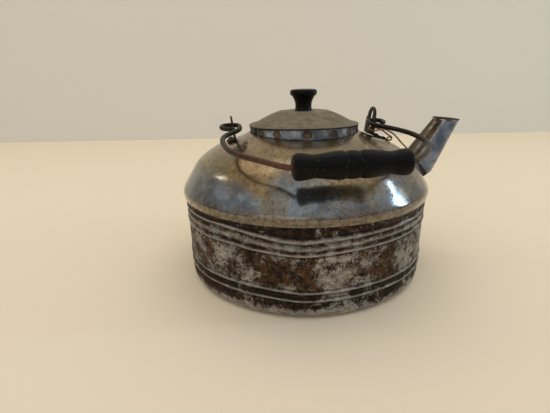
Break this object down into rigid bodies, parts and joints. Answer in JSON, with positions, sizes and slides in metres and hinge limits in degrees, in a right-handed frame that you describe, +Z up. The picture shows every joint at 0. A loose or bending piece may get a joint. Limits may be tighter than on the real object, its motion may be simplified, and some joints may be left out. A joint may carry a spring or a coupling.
{
  "type": "stove-top tea kettle",
  "caption": "Low, wide sheet-metal tea kettle with a domed top, faceted spout, loose lid with a turned wooden knob, and a folding wire bail with a turned wooden grip.",
  "frame": {"origin": "on the kettle's axis, at the level it stands on", "axes": "+Z up along the kettle's axis, +X towards the spout; the bail is folded down towards -Y"},
  "size_m": [0.2777, 0.2578, 0.1757],
  "materials": {
    "sooty_steel": "tinned sheet, mostly covered in soot and rust, bright where the beads are rubbed",
    "tinned_steel": "tarnished tinned sheet, semi-bright with a brown film and rust specks",
    "lid_steel": "matt grey-brown tinned sheet with fine turned rings",
    "dark_steel": "dark oxidised steel, reddish with rust in places",
    "rusty_wire": "orange-brown rust all over",
    "black_wood": "black stained turned wood, satin from handling"
  },
  "bodies": {
    "kettle": {"bottom_plate": "sooty_steel", "body_wall": "sooty_steel", "dome_shell": "tinned_steel", "mouth_collar": "tinned_steel", "spout_tube": "tinned_steel", "spout_flange": "tinned_steel", "spout_rim": "tinned_steel", "ear_back": "dark_steel", "ear_front": "dark_steel", "rivet_back_left": "dark_steel", "rivet_back_right": "dark_steel", "rivet_front_inner": "dark_steel", "rivet_front_outer": "dark_steel", "burr_back_left": "dark_steel", "burr_back_right": "dark_steel", "burr_front_inner": "dark_steel", "burr_front_outer": "dark_steel", "tie_wire": "rusty_wire"},
    "lid": {"lid_cap": "lid_steel", "lid_skirt": "lid_steel", "lid_knob": "black_wood", "knob_screw": "dark_steel", "knob_washer": "dark_steel"},
    "bail": {"bail_wire": "dark_steel"},
    "handgrip": {"grip": "black_wood"}
  },
  "joints": [
    {"name": "lid_lift", "type": "slide", "parent": "kettle", "child": "lid", "axis": [0, 0, 1], "range_m": [0, 0.06]},
    {"name": "bail_swing", "type": "hinge", "parent": "kettle", "child": "bail", "pos_m": [0, 0, 0.144], "axis": [-1, 0, 0], "range_deg": [0, 193]},
    {"name": "grip_spin", "type": "hinge", "parent": "bail", "child": "handgrip", "pos_m": [0.0065, -0.12909, 0.12861], "axis": [1, 0, 0], "continuous": true}
  ]
}
